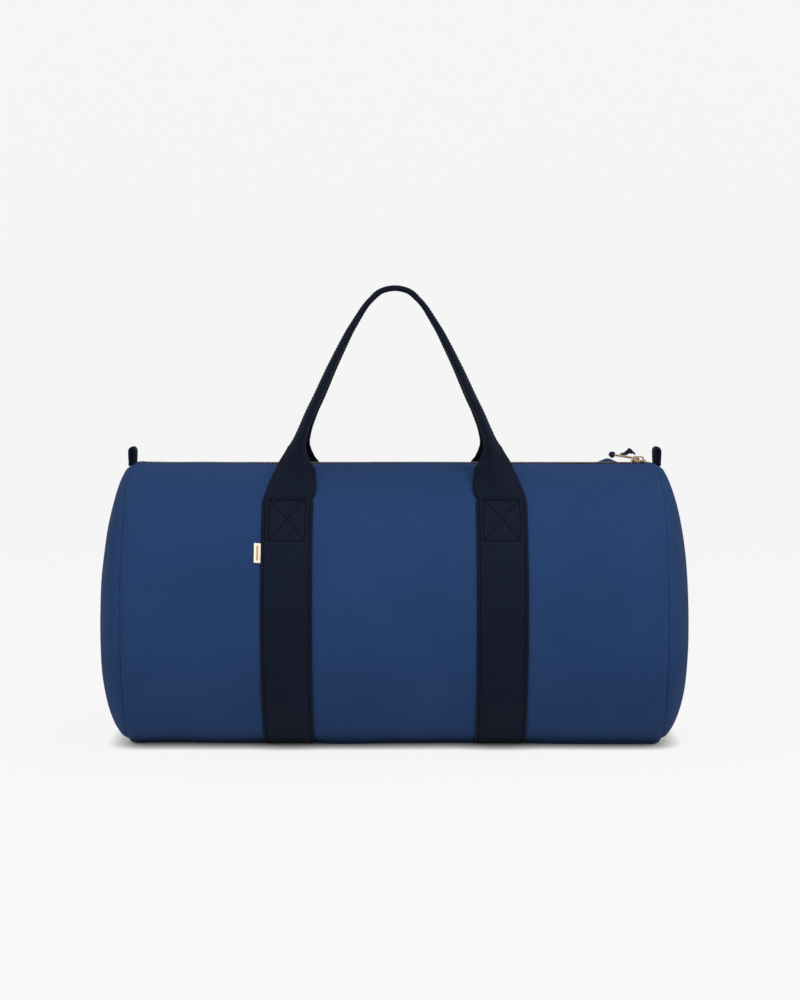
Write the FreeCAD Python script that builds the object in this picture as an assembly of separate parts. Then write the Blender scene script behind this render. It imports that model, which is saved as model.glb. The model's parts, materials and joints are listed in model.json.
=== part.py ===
"""Weekender bag: a soft canvas barrel on its side, with a top zip and two webbing handles.

Millimetres. X runs along the barrel, -Y is the front, +Z is up, and the origin is on the floor
under the middle. The barrel's cross-section is a round arc that sits on a flat stretch of floor.
"""
import FreeCAD, Part
import math
import os

# Barrel
SEAM_TO_SEAM = 532.0        # between the two end seams
BARREL_RADIUS = 147.0       # outside of the canvas, above the floor curves
BARREL_TOP = 282.0          # top of the canvas above the floor
FLOOR_HALF = 34.0           # half the width that lies flat on the floor
CANVAS = 2.0                # canvas with its lining
DOME = 29.5                 # how far each end swells out past its seam
DOME_POWER = 2.4            # fullness of the swell: higher is flatter in the middle
DOME_SHOULDER = 0.7         # lower is steeper at the seam
DOME_CENTRE = 107.0         # the swell's highest point, above the floor
DOME_LEVELS = (1.0, 0.985, 0.95, 0.89, 0.79, 0.65, 0.48, 0.3, 0.1)
BINDING_WIDTH = 8.0         # bound seam allowance inside each end
BINDING = 2.5

# Webbing
WEB_WIDTH = 50.0
WEB = 2.4
BAND_CENTRE = 105.0         # each band's middle, from the middle of the bag
LIFT_ANGLE = 50.5           # where the webbing leaves the barrel, above the horizontal
BAND_SETBACK = 5.0          # the sewn band ends this far below the lift line
RUNNING_GAP = 0.3           # between pieces that move past each other

# Handles
HANDLE_TOP = 460.0
FOLDED_WIDTH = WEB_WIDTH / 2
GRIP_THICK = 5.3            # two layers of webbing, folded and sewn
FLARE_HEIGHT = 70.0         # from the lift line up to where the webbing is fully folded
HANDLES_APART = 0.8         # between the two grips where they meet
# Up one leg: share of the rise, share of the band centre, width seen from the front
LEG = (
    (0.000, 1.000, 50.0),
    (0.050, 0.977, 49.0),
    (0.105, 0.957, 45.3),
    (0.160, 0.931, 38.7),
    (0.197, 0.911, 33.0),
    (0.234, 0.894, 25.7),
    (0.271, 0.877, 19.8),
    (0.342, 0.839, 13.9),
    (0.480, 0.719, 11.9),
    (0.620, 0.593, 10.5),
    (0.762, 0.452, 9.0),
    (0.903, 0.279, 7.5),
    (0.941, 0.210, 7.5),
)

# Zip
SLOT_HALF = 9.0             # half the gap between the canvas edges
TAPE = 0.8
TAPE_WIDTH = 18.0
TAPE_EDGE = 1.5             # the tape's inner edge, from the middle line
TOOTH_PITCH = 3.0
TOOTH_LENGTH = 1.3
TOOTH_REACH = 4.3           # outer end of a tooth, from the middle line
TOOTH_HEAD = 0.6            # inner end of a tooth, from the middle line
TOOTH_PROUD = 1.4           # above and below the tape
STOP_LENGTH = 2.0
SLIDER_LENGTH = 15.0
SLIDER_WIDTH = 12.0
SLIDER_PLATE = 1.5
SLIDER_POST = 0.8
SLIDER_END = 10.5           # from the end of the slot to the slider's middle, zip closed

# Pull
BAIL_LENGTH = 11.0
BAIL_BAR = 1.4
BAIL_RISE = 4.0
BAIL_WIDTH = 2.2
PULL_BAR = 2.0
PULL_WIDTH = 6.4
PULL_WINDOW = 7.4           # from the pull's axis to the far side of its window
PULL_LENGTH = 27.0          # from the pull's axis to the middle of its knot
PULL_REST = 9.0             # degrees that the pull rises above the chain at rest
KNOB_RADIUS = 3.3
KNOB_BITE = 1.0             # how far the pull's end goes into the knot
RIBBON_WIDTH = 9.0
# The ribbon's folded outline: distance along the pull from its axis, and height above the pull
RIBBON_OUTLINE = (
    (19.0, 0.0),
    (17.2, 2.0),
    (11.0, 8.4),
    (9.6, 8.2),
    (5.0, 4.4),
    (5.4, 3.5),
    (9.8, 4.6),
    (13.4, 1.6),
    (16.0, 0.0),
)

# End loops and label
LOOP_WIDTH = 25.0
LOOP_THICK = 8.0
LOOP_FOOT = 5.0
LOOP_RISE = 15.0
LOOP_SLIT = 0.8
LABEL_OUT = 6.6
LABEL_HEIGHT = 19.0
LABEL_TOP = 208.0
LABEL = 1.0

# Worked out
HALF = SEAM_TO_SEAM / 2
AXIS_Z = BARREL_TOP - BARREL_RADIUS
CANVAS_Z = WEB              # the canvas rides on the bands' thickness
SLOT_END = HALF - BINDING_WIDTH
SPARE = 2 * BARREL_RADIUS - (BARREL_TOP - CANVAS_Z)
SHOULDER = (BARREL_TOP - CANVAS_Z - FLOOR_HALF ** 2 / SPARE) / 2
SHOULDER_Z = CANVAS_Z + SHOULDER
TAPE_TOP = BARREL_TOP - CANVAS
LIFT_RADIUS = BARREL_RADIUS + WEB / 2 + RUNNING_GAP
LIFT_Y = LIFT_RADIUS * math.cos(math.radians(LIFT_ANGLE))
LIFT_Z = AXIS_Z + LIFT_RADIUS * math.sin(math.radians(LIFT_ANGLE))
FAR = 2 * BARREL_TOP        # longer than anything that it has to cut
V = FreeCAD.Vector


def box(low, high):
    """A box between two opposite corners."""
    size = [b - a for a, b in zip(low, high)]
    return Part.makeBox(*size, V(*low))


def section(grow, x=0.0):
    """The barrel's cross-section at x, grown outwards by grow, or shrunk if it is negative."""
    radius = BARREL_RADIUS + grow
    shoulder = SHOULDER + grow
    toward = V(0, FLOOR_HALF, SHOULDER_Z - AXIS_Z).normalize()
    low = V(x, FLOOR_HALF, CANVAS_Z - grow)
    joint = V(x, 0, AXIS_Z) + toward * radius
    between = (toward + V(0, 0, -1)).normalize()
    bulge = V(x, FLOOR_HALF, SHOULDER_Z) + between * shoulder
    top = V(x, 0, AXIS_Z + radius)

    def mirror(p):
        return V(p.x, -p.y, p.z)

    edges = [
        Part.LineSegment(mirror(low), low).toShape(),
        Part.Arc(low, bulge, joint).toShape(),
        Part.Arc(joint, top, mirror(joint)).toShape(),
        Part.Arc(mirror(joint), mirror(bulge), mirror(low)).toShape(),
    ]
    return Part.Wire(edges)


def barrel(grow, x0, x1):
    """A solid length of barrel from x0 to x1."""
    return Part.Face(section(grow, x0)).extrude(V(x1 - x0, 0, 0))


def sleeve(outer, inner, x0, x1):
    """The layer of the barrel between two growths."""
    return barrel(outer, x0, x1).cut(barrel(inner, x0 - 1, x1 + 1))


def prism(points, along):
    """A closed polygon carried along a vector."""
    corners = [V(*p) for p in points]
    return Part.Face(Part.makePolygon(corners + corners[:1])).extrude(V(*along))


def both_ends(solid):
    """The solid, and its mirror image at the other end of the bag."""
    return solid, solid.mirror(V(0, 0, 0), V(1, 0, 0))


def front_and_back(solid):
    """The solid, and its mirror image on the other side of the bag."""
    return solid, solid.mirror(V(0, 0, 0), V(0, 1, 0))


def body_panel():
    """The barrel's one wrapped panel, open along the zip."""
    slot = box((-SLOT_END, -SLOT_HALF, AXIS_Z), (SLOT_END, SLOT_HALF, FAR))
    return sleeve(0, -CANVAS, -HALF, HALF).cut(slot)


def dome(grow, depth):
    """A solid swell on the right end, through scaled copies of the cross-section."""
    centre = V(0, 0, DOME_CENTRE)
    wires = []
    for level in DOME_LEVELS:
        wire = section(grow)
        wire.scale(level, centre)
        out = (1 - level ** DOME_POWER) ** DOME_SHOULDER
        wire.translate(V(HALF + depth * out, 0, 0))
        wires.append(wire)
    return Part.makeLoft(wires, True, True)


def end_panel():
    """The right end panel, a shallow canvas dome."""
    return dome(0, DOME).cut(dome(-CANVAS, DOME - CANVAS))


def seam_binding():
    """The bound seam allowance inside the right end."""
    return sleeve(-CANVAS, -CANVAS - BINDING, SLOT_END, HALF)


def band():
    """The right band: webbing round the barrel, from one lift line under to the other."""
    x0 = BAND_CENTRE - WEB_WIDTH / 2
    ring = sleeve(WEB, 0, x0, x0 + WEB_WIDTH)
    end = math.radians(LIFT_ANGLE) - BAND_SETBACK / LIFT_RADIUS
    reach = V(0, math.cos(end), math.sin(end)) * FAR
    centre = (x0 - 1, 0, AXIS_Z)
    above = [
        centre,
        (x0 - 1, reach.y, AXIS_Z + reach.z),
        (x0 - 1, 0, AXIS_Z + 2 * FAR),
        (x0 - 1, -reach.y, AXIS_Z + reach.z),
    ]
    return ring.cut(prism(above, (WEB_WIDTH + 2, 0, 0)))


def handle_front_view():
    """Both legs and the crown as seen from the front, carried through the whole depth."""
    rise = HANDLE_TOP - LIFT_Z

    def side(sign):
        """The outer (+1) or inner (-1) edge, from one foot over the crown to the other."""
        right = []
        for height, across, width in LEG:
            right.append(V(BAND_CENTRE * across + sign * width / 2, 0, LIFT_Z + rise * height))
        left = [V(-p.x, 0, p.z) for p in reversed(right)]
        top_z = HANDLE_TOP if sign > 0 else HANDLE_TOP - GRIP_THICK
        curve = Part.BSplineCurve()
        curve.interpolate(right + [V(0, 0, top_z)] + left)
        return curve.toShape()

    # The feet run straight down past the lift line, so that the root's round end is whole.
    outer = side(1)
    inner = side(-1)
    ends = []
    for sign in (1, -1):
        far_x = sign * (BAND_CENTRE + WEB_WIDTH / 2)
        near_x = sign * (BAND_CENTRE - WEB_WIDTH / 2)
        corners = [
            V(far_x, 0, LIFT_Z),
            V(far_x, 0, LIFT_Z - WEB),
            V(near_x, 0, LIFT_Z - WEB),
            V(near_x, 0, LIFT_Z),
        ]
        ends.extend(Part.LineSegment(a, b).toShape() for a, b in zip(corners, corners[1:]))
    outline = Part.Wire(Part.__sortEdges__([outer, inner] + ends))
    return Part.Face(outline).extrude(V(0, -FAR, 0))


def handle_side_view():
    """The front handle's lean as seen from the end, carried through the whole length."""
    top_z = HANDLE_TOP + 1
    fold_z = LIFT_Z + FLARE_HEIGHT
    outer_top = -(FOLDED_WIDTH + HANDLES_APART / 2)
    slope = (LIFT_Y + outer_top) / (top_z - LIFT_Z)
    lean = math.atan(slope)
    half = WEB / 2
    root = V(-FAR, -LIFT_Y, LIFT_Z)
    out = V(0, -math.cos(lean), math.sin(lean)) * half
    down = V(0, -math.sin(lean), -math.cos(lean)) * half
    outer_low = root + out
    inner_low = root - out
    outer_slope = (outer_top - outer_low.y) / (top_z - outer_low.z)
    fold_outer_y = outer_low.y + outer_slope * (fold_z - outer_low.z)
    inner_fold = V(-FAR, fold_outer_y + FOLDED_WIDTH, fold_z)
    inner_high = V(-FAR, outer_top + FOLDED_WIDTH, top_z)
    outer_high = V(-FAR, outer_top, top_z)
    edges = [
        Part.Arc(outer_low, root + down, inner_low).toShape(),
        Part.LineSegment(inner_low, inner_fold).toShape(),
        Part.LineSegment(inner_fold, inner_high).toShape(),
        Part.LineSegment(inner_high, outer_high).toShape(),
        Part.LineSegment(outer_high, outer_low).toShape(),
    ]
    return Part.Face(Part.Wire(edges)).extrude(V(2 * FAR, 0, 0))


def handle():
    """The front handle: folded over the grip, and opening out flat towards the barrel."""
    return handle_front_view().common(handle_side_view())


def zip_tape():
    """The front tape, under the canvas edge."""
    layer = sleeve(-CANVAS, -CANVAS - TAPE, -SLOT_END, SLOT_END)
    strip = box((-FAR, -TAPE_EDGE - TAPE_WIDTH, AXIS_Z), (FAR, -TAPE_EDGE, FAR))
    return layer.common(strip)


def clamp(x, length, tape, y0, y1):
    """A metal block that grips the tape's edge from above and below."""
    low = (x - length / 2, y0, TAPE_TOP - TAPE - TOOTH_PROUD)
    high = (x + length / 2, y1, TAPE_TOP + TOOTH_PROUD)
    return box(low, high).cut(tape)


def chain_length():
    """How far the teeth reach to each side of the middle."""
    return SLOT_END - 2 * STOP_LENGTH - 1


def zip_teeth(tape, shift):
    """One row of teeth along the front tape, shifted along the zip."""
    first = clamp(0, TOOTH_LENGTH, tape, -TOOTH_REACH, -TOOTH_HEAD)
    count = int(2 * chain_length() / TOOTH_PITCH) - 1
    start = -chain_length() + shift
    teeth = []
    for n in range(count):
        tooth = first.copy()
        tooth.translate(V(start + n * TOOTH_PITCH, 0, 0))
        teeth.append(tooth)
    return Part.makeCompound(teeth)


def slider_x():
    return SLOT_END - SLIDER_END


def slider_body():
    """Two plates round the chain, joined by a thin post between the rows of teeth."""
    x = slider_x()
    low = TAPE_TOP - TAPE - TOOTH_PROUD - RUNNING_GAP
    high = TAPE_TOP + TOOTH_PROUD + RUNNING_GAP
    x0 = x - SLIDER_LENGTH / 2
    x1 = x + SLIDER_LENGTH / 2
    side = SLIDER_WIDTH / 2
    top = box((x0, -side, high), (x1, side, high + SLIDER_PLATE))
    bottom = box((x0, -side, low - SLIDER_PLATE), (x1, side, low))
    post = box((x, -SLIDER_POST / 2, low), (x1 - 1, SLIDER_POST / 2, high))
    body = top.fuse([bottom, post])
    for sign in (-1, 1):
        inner = TOOTH_REACH + RUNNING_GAP
        ys = sorted((sign * inner, sign * side))
        body = body.fuse(box((x0, ys[0], TAPE_TOP + RUNNING_GAP), (x1, ys[1], high)))
    return body.removeSplitter()


def slider_top():
    return TAPE_TOP + TOOTH_PROUD + RUNNING_GAP + SLIDER_PLATE


def slider_bail():
    """The small bridge on the slider, which holds the pull."""
    x = slider_x()
    base = slider_top()
    outer = box((x - BAIL_LENGTH / 2, -BAIL_WIDTH / 2, base),
                (x + BAIL_LENGTH / 2, BAIL_WIDTH / 2, base + BAIL_RISE))
    inner = box((x - BAIL_LENGTH / 2 + BAIL_BAR, -BAIL_WIDTH, base - 1),
                (x + BAIL_LENGTH / 2 - BAIL_BAR, BAIL_WIDTH, base + BAIL_RISE - BAIL_BAR))
    return outer.cut(inner)


def pull_axis():
    """The middle of the pull's crossbar, inside the bridge."""
    return V(slider_x(), 0, slider_top() + (BAIL_RISE - BAIL_BAR) / 2)


def along_pull(solid):
    """Tilts a solid that was made level, pointing -X from the pull's axis."""
    solid.rotate(pull_axis(), V(0, 1, 0), PULL_REST)
    return solid


def pull_tab():
    """The pull: a flat brass bar, with a window that goes round the bridge.

    The window's near side is a round crossbar on the pull's axis.
    """
    p = pull_axis()
    half = PULL_WIDTH / 2
    thick = PULL_BAR / 2
    end_x = p.x - PULL_LENGTH + KNOB_RADIUS - KNOB_BITE
    plate = box((end_x, -half, p.z - thick), (p.x, half, p.z + thick))
    arm = (PULL_WIDTH - BAIL_WIDTH) / 2 - RUNNING_GAP * 2
    window = box((p.x - PULL_WINDOW, -half + arm, p.z - PULL_BAR),
                 (p.x + PULL_BAR, half - arm, p.z + PULL_BAR))
    crossbar = Part.makeCylinder(thick, PULL_WIDTH, V(p.x, -half, p.z), V(0, 1, 0))
    return along_pull(plate.cut(window).fuse(crossbar))


def pull_knob(pull):
    """The round knot at the pull's tip."""
    p = pull_axis()
    ball = Part.makeSphere(KNOB_RADIUS, V(p.x - PULL_LENGTH, 0, p.z))
    return along_pull(ball).cut(pull)


def pull_ribbon():
    """A short folded ribbon that stands over the pull, and flexes up from its tip."""
    p = pull_axis()
    base = p.z + PULL_BAR / 2 + RUNNING_GAP
    y = -RIBBON_WIDTH / 2
    outline = [(p.x - along, y, base + height) for along, height in RIBBON_OUTLINE]
    return along_pull(prism(outline, (0, RIBBON_WIDTH, 0)))


def end_loop():
    """The right end's folded webbing tab, standing in the top of the seam."""
    top = BARREL_TOP + LOOP_RISE
    radius = LOOP_THICK / 2
    y = -LOOP_WIDTH / 2
    low = BARREL_TOP - CANVAS
    points = [
        V(HALF - LOOP_FOOT / 2, y, low),
        V(HALF - radius, y, top - LOOP_RISE / 2),
        V(HALF - radius, y, top - radius),
        V(HALF + radius, y, top - radius),
        V(HALF + radius, y, top - LOOP_RISE / 2),
        V(HALF + LOOP_FOOT / 2, y, low),
    ]
    edges = [
        Part.LineSegment(points[0], points[1]).toShape(),
        Part.LineSegment(points[1], points[2]).toShape(),
        Part.Arc(points[2], V(HALF, y, top), points[3]).toShape(),
        Part.LineSegment(points[3], points[4]).toShape(),
        Part.LineSegment(points[4], points[5]).toShape(),
        Part.LineSegment(points[5], points[0]).toShape(),
    ]
    tab = Part.Face(Part.Wire(edges)).extrude(V(0, LOOP_WIDTH, 0))
    slit = box((HALF - LOOP_SLIT / 2, -LOOP_WIDTH, BARREL_TOP + 1),
               (HALF + LOOP_SLIT / 2, LOOP_WIDTH, top - WEB))
    inside = barrel(0, HALF - LOOP_THICK, HALF + LOOP_THICK)
    return tab.cut(slit).cut(inside)


def side_label():
    """A small folded label, caught under the left band's outer edge."""
    x1 = -BAND_CENTRE - WEB_WIDTH / 2
    layer = sleeve(LABEL, 0, x1 - LABEL_OUT, x1)
    window = box((-FAR, -FAR, LABEL_TOP - LABEL_HEIGHT), (FAR, 0, LABEL_TOP))
    return layer.common(window)


def main():
    parts = {"body_panel": body_panel(), "side_label": side_label()}
    parts["end_panel_right"], parts["end_panel_left"] = both_ends(end_panel())
    parts["seam_binding_right"], parts["seam_binding_left"] = both_ends(seam_binding())
    parts["band_right"], parts["band_left"] = both_ends(band())
    parts["end_loop_right"], parts["end_loop_left"] = both_ends(end_loop())
    parts["handle_front"], parts["handle_back"] = front_and_back(handle())
    tape = zip_tape()
    parts["zip_tape_front"], parts["zip_tape_back"] = front_and_back(tape)
    parts["zip_teeth_front"] = zip_teeth(tape, TOOTH_PITCH / 2)
    parts["zip_teeth_back"] = front_and_back(zip_teeth(tape, TOOTH_PITCH))[1]
    stop_x = SLOT_END - STOP_LENGTH / 2
    top_stop = clamp(stop_x, STOP_LENGTH, tape, -TOOTH_REACH, -TOOTH_HEAD)
    parts["zip_stops_top"] = Part.makeCompound(front_and_back(top_stop))
    both_tapes = parts["zip_tape_front"].fuse(parts["zip_tape_back"])
    parts["zip_stop_bottom"] = clamp(-stop_x, STOP_LENGTH, both_tapes, -TOOTH_REACH, TOOTH_REACH)
    parts["slider_body"] = slider_body()
    parts["slider_bail"] = slider_bail()
    pull = pull_tab()
    parts["pull_tab"] = pull
    parts["pull_knob"] = pull_knob(pull)
    parts["pull_ribbon"] = pull_ribbon()
    os.makedirs("parts", exist_ok=True)
    for name, shape in sorted(parts.items()):
        shape.exportStep("parts/" + name + ".step")
        low = shape.BoundBox
        print(name, shape.isValid(), len(shape.Solids), round(shape.Volume),
              [round(v, 1) for v in (low.XMin, low.XMax, low.YMin, low.YMax, low.ZMin, low.ZMax)])
    print("lift line", round(LIFT_Y, 3), round(LIFT_Z, 3), "pull axis", pull_axis())


main()
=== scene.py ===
"""The weekender bag's looks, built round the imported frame. Metres, in the frame's own axes."""
import bpy
import json
import math
from mathutils import Matrix, Vector, noise


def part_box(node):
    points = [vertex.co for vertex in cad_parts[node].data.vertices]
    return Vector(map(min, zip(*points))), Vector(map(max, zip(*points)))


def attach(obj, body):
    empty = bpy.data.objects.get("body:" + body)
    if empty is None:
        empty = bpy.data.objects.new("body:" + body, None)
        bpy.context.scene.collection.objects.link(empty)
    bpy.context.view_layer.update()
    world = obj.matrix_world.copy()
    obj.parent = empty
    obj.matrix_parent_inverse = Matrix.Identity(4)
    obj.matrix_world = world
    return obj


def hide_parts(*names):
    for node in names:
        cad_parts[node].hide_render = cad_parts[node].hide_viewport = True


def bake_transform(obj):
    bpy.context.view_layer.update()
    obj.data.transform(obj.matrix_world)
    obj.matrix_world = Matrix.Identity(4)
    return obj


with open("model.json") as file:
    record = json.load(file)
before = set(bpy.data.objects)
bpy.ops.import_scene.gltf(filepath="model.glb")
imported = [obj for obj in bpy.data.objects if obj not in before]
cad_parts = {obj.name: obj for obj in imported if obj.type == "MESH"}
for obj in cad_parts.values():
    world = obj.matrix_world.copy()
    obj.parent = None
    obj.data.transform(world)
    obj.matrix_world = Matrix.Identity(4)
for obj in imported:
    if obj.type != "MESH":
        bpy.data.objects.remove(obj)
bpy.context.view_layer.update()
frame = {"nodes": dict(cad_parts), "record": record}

MM = 0.001


# ---------------------------------------------------------------- camera, floor and light

def look_from(target, distance, elevation):
    """The camera, in front of the bag and a little above it."""
    data = bpy.data.cameras.new("camera")
    data.sensor_width = 36
    data.lens = 101.6
    data.clip_end = 50
    camera = bpy.data.objects.new("camera", data)
    angle = math.radians(elevation)
    offset = Vector((0, -math.cos(angle), math.sin(angle))) * distance
    camera.location = target + offset
    camera.rotation_euler = (-offset).to_track_quat("-Z", "Y").to_euler()
    bpy.context.collection.objects.link(camera)
    bpy.context.scene.camera = camera


look_from(Vector((0.0053, 0, 0.2425)), 2.87, 3.6)


# ---------------------------------------------------------------- sizes from the frame

def side(node, corner, axis):
    """One coordinate of a corner of a CAD node's box."""
    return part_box(node)[corner][axis]


LOW, HIGH = 0, 1        # corners of a box
X, Y, Z = 0, 1, 2
HALF = side("body_panel", HIGH, X)
RADIUS = side("body_panel", HIGH, Y)
TOP = side("body_panel", HIGH, Z)
BOTTOM = side("body_panel", LOW, Z)
AXIS = TOP - RADIUS
WEB = BOTTOM
WEB_WIDTH = side("band_right", HIGH, X) - side("band_right", LOW, X)
BAND_X = (side("band_right", HIGH, X) + side("band_right", LOW, X)) / 2
DOME = side("end_panel_right", HIGH, X) - HALF
HANDLE_TOP = side("handle_front", HIGH, Z)
LIFT = next(j for j in frame["record"]["behaviour"]["joints"] if j["name"] == "handle_front_swing")
LIFT_Y, LIFT_Z = -LIFT["pos_m"][1], LIFT["pos_m"][2]
LIFT_ANGLE = math.atan2(LIFT_Z - AXIS, LIFT_Y)
SLOT_HALF = 9 * MM      # half the gap between the canvas edges at the zip
DOME_CENTRE = 107 * MM  # height at which the ends stand out most
FLOOR_HALF = 34 * MM    # half the flat strip under the barrel
FOLD = 0.62             # radius of the fold along a handle, in thicknesses
SPARE = 2 * RADIUS - (TOP - BOTTOM)
SHOULDER = (TOP - BOTTOM - FLOOR_HALF ** 2 / SPARE) / 2
SHOULDER_Z = BOTTOM + SHOULDER


def section(grow=0.0):
    """The cross-section as a function of the distance round it, from the top over the front."""
    toward = Vector((FLOOR_HALF, SHOULDER_Z - AXIS)).normalized()
    swing = math.atan2(toward.x, toward.y)
    big = (RADIUS + grow) * swing
    small = (SHOULDER + grow) * (math.pi - swing)
    total = 2 * (big + small + FLOOR_HALF)

    def half(s):
        if s < big:
            a = s / (RADIUS + grow)
            n = Vector((math.sin(a), math.cos(a)))
            return Vector((0, AXIS)) + n * (RADIUS + grow), n
        if s < big + small:
            a = swing + (s - big) / (SHOULDER + grow)
            n = Vector((math.sin(a), math.cos(a)))
            return Vector((FLOOR_HALF, SHOULDER_Z)) + n * (SHOULDER + grow), n
        return Vector((FLOOR_HALF - (s - big - small), BOTTOM - grow)), Vector((0, -1))

    def at(s):
        s = s % total
        if s <= total / 2:
            p, n = half(s)
            return Vector((-p.x, p.y)), Vector((-n.x, n.y))
        return half(total - s)

    return at, total


# ---------------------------------------------------------------- mesh helpers

def new_object(name, verts, faces, body, material, uvs=None, smooth=True):
    """A mesh piece that rides on a body. uvs are in metres, one per vertex."""
    mesh = bpy.data.meshes.new(name)
    mesh.from_pydata([tuple(v) for v in verts], [], faces)
    if uvs:
        layer = mesh.uv_layers.new(name="UVMap")
        for loop in mesh.loops:
            layer.data[loop.index].uv = uvs[loop.vertex_index]
    if smooth:
        mesh.polygons.foreach_set("use_smooth", [True] * len(mesh.polygons))
    mesh.materials.append(material)
    obj = bpy.data.objects.new(name, mesh)
    bpy.context.collection.objects.link(obj)
    if body:
        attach(obj, body)
    return obj


def grid_faces(rows, columns, close_rows=False, close_columns=False, start=0):
    """Quads over a grid of vertices in row order."""
    faces = []
    for i in range(rows if close_rows else rows - 1):
        for j in range(columns if close_columns else columns - 1):
            a = start + i * columns + j
            b = start + i * columns + (j + 1) % columns
            c = start + ((i + 1) % rows) * columns + (j + 1) % columns
            d = start + ((i + 1) % rows) * columns + j
            faces.append((a, b, c, d))
    return faces


def strap_section(width, thick, fold=None, columns=26):
    """A webbing cross-section as a closed loop of (across, depth) points.

    fold is the angle of each half from the middle plane, in radians, or None for flat webbing.
    """
    angle = math.pi / 2 if fold is None else fold
    radius = FOLD * thick
    turned = radius * (math.pi / 2 - angle)

    def middle(w):
        sign = 1 if w >= 0 else -1
        w = abs(w)
        if w < turned:
            a = w / radius
            return Vector((radius * math.sin(a), radius * (1 - math.cos(a)))), a, sign
        a = math.pi / 2 - angle
        p = Vector((radius * math.sin(a), radius * (1 - math.cos(a))))
        return p + Vector((math.cos(a), math.sin(a))) * (w - turned), a, sign

    loop = []
    spots = [-1 + 2 * k / columns for k in range(columns + 1)]
    for face in (-1, 1):
        for t in (spots if face < 0 else spots[::-1]):
            w = t * width / 2
            p, a, sign = middle(w)
            normal = Vector((-math.sin(a), math.cos(a)))
            edge = max(0.0, abs(t) - (1 - 1.6 * thick / width)) / (1.6 * thick / width)
            depth = thick / 2 * (1 - 0.75 * edge ** 3) * face
            q = p + normal * depth
            loop.append((Vector((q.x * sign, q.y)), (w, face)))
    return loop


def sweep(name, frames, sections, body, material):
    """A strap through frames of (point, across, depth direction, distance along)."""
    verts, uvs = [], []
    columns = len(sections[0])
    for (point, across, deep, along), loop in zip(frames, sections):
        for (q, (w, face)) in loop:
            verts.append(point + across * q.x + deep * q.y)
            uvs.append((w + (0.2 if face > 0 else 0), along))
    faces = grid_faces(len(frames), columns, close_columns=True)
    half = columns // 2
    for row in (0, len(frames) - 1):
        base = row * columns
        for k in range(half - 1):
            quad = [base + k, base + k + 1, base + columns - 2 - k, base + columns - 1 - k]
            faces.append(tuple(quad if row else quad[::-1]))
    return new_object(name, verts, faces, body, material, uvs)


def stitches(name, runs, body, material, length=2.6 * MM, gap=0.9 * MM, radius=0.33 * MM):
    """Short raised threads along runs of (point, normal) samples."""
    verts, faces = [], []
    ring = 6
    profile = ((-0.5, 0.25), (-0.36, 0.85), (0.0, 1.0), (0.36, 0.85), (0.5, 0.25))
    for run in runs:
        points = [p for p, n in run]
        walked = [0.0]
        for a, b in zip(points, points[1:]):
            walked.append(walked[-1] + (b - a).length)

        def at(d):
            low, high = 0, len(walked) - 1
            while high - low > 1:
                k = (low + high) // 2
                if walked[k] <= d:
                    low = k
                else:
                    high = k
            span = max(walked[high] - walked[low], 1e-9)
            f = (d - walked[low]) / span
            return points[low].lerp(points[high], f), run[low][1].lerp(run[high][1], f).normalized()

        count = max(1, int(walked[-1] / (length + gap)))
        step = walked[-1] / count
        for i in range(count):
            mid, normal = at((i + 0.5) * step)
            a, _ = at((i + 0.5) * step - length / 2 if i or count > 1 else 0)
            b, _ = at(min(walked[-1], (i + 0.5) * step + length / 2))
            along = (b - a).normalized()
            cross = normal.cross(along).normalized()
            base = len(verts)
            for t, swell in profile:
                centre = mid + along * t * length + normal * radius * (0.1 + 0.5 * swell)
                for k in range(ring):
                    turn = 2 * math.pi * k / ring
                    verts.append(centre + (cross * math.cos(turn) + normal * math.sin(turn)) * radius * swell)
            faces.extend(grid_faces(len(profile), ring, close_columns=True, start=base))
            last = base + (len(profile) - 1) * ring
            faces.append(tuple(base + k for k in reversed(range(ring))))
            faces.append(tuple(last + k for k in range(ring)))
    return new_object(name, verts, faces, body, material)


# ---------------------------------------------------------------- materials

def material(name, colour, roughness, metallic=0.0):
    m = bpy.data.materials.new(name)
    m.use_nodes = True
    tree = m.node_tree
    shader = tree.nodes["Principled BSDF"]
    shader.inputs["Base Color"].default_value = (*colour, 1)
    shader.inputs["Roughness"].default_value = roughness
    shader.inputs["Metallic"].default_value = metallic
    return m, tree, shader


def node(tree, kind, **inputs):
    n = tree.nodes.new(kind)
    for key, value in inputs.items():
        name = key.replace("_", " ")
        if name in n.inputs:
            n.inputs[name].default_value = value
        else:
            setattr(n, key, value)
    return n


def math_node(tree, operation, a, b=None):
    n = tree.nodes.new("ShaderNodeMath")
    n.operation = operation
    for socket, value in zip(n.inputs, (a, b)):
        if value is None:
            continue
        if isinstance(value, (int, float)):
            socket.default_value = value
        else:
            tree.links.new(value, socket)
    return n.outputs[0]


def ramp(tree, value, stops):
    n = tree.nodes.new("ShaderNodeValToRGB")
    elements = n.color_ramp.elements
    while len(elements) < len(stops):
        elements.new(0.5)
    for element, (place, colour) in zip(elements, stops):
        element.position = place
        element.color = (*colour, 1)
    tree.links.new(value, n.inputs[0])
    return n.outputs[0]


def wave(tree, coordinate, pitch):
    """A smooth wave from 0 to 1 along a coordinate in metres."""
    scaled = math_node(tree, "MULTIPLY", coordinate, 2 * math.pi / pitch)
    return math_node(tree, "ADD", math_node(tree, "MULTIPLY", math_node(tree, "SINE", scaled), 0.5), 0.5)


def uv(tree):
    coordinates = tree.nodes.new("ShaderNodeUVMap")
    coordinates.uv_map = "UVMap"
    split = tree.nodes.new("ShaderNodeSeparateXYZ")
    tree.links.new(coordinates.outputs[0], split.inputs[0])
    return coordinates.outputs[0], split.outputs[0], split.outputs[1]


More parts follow.
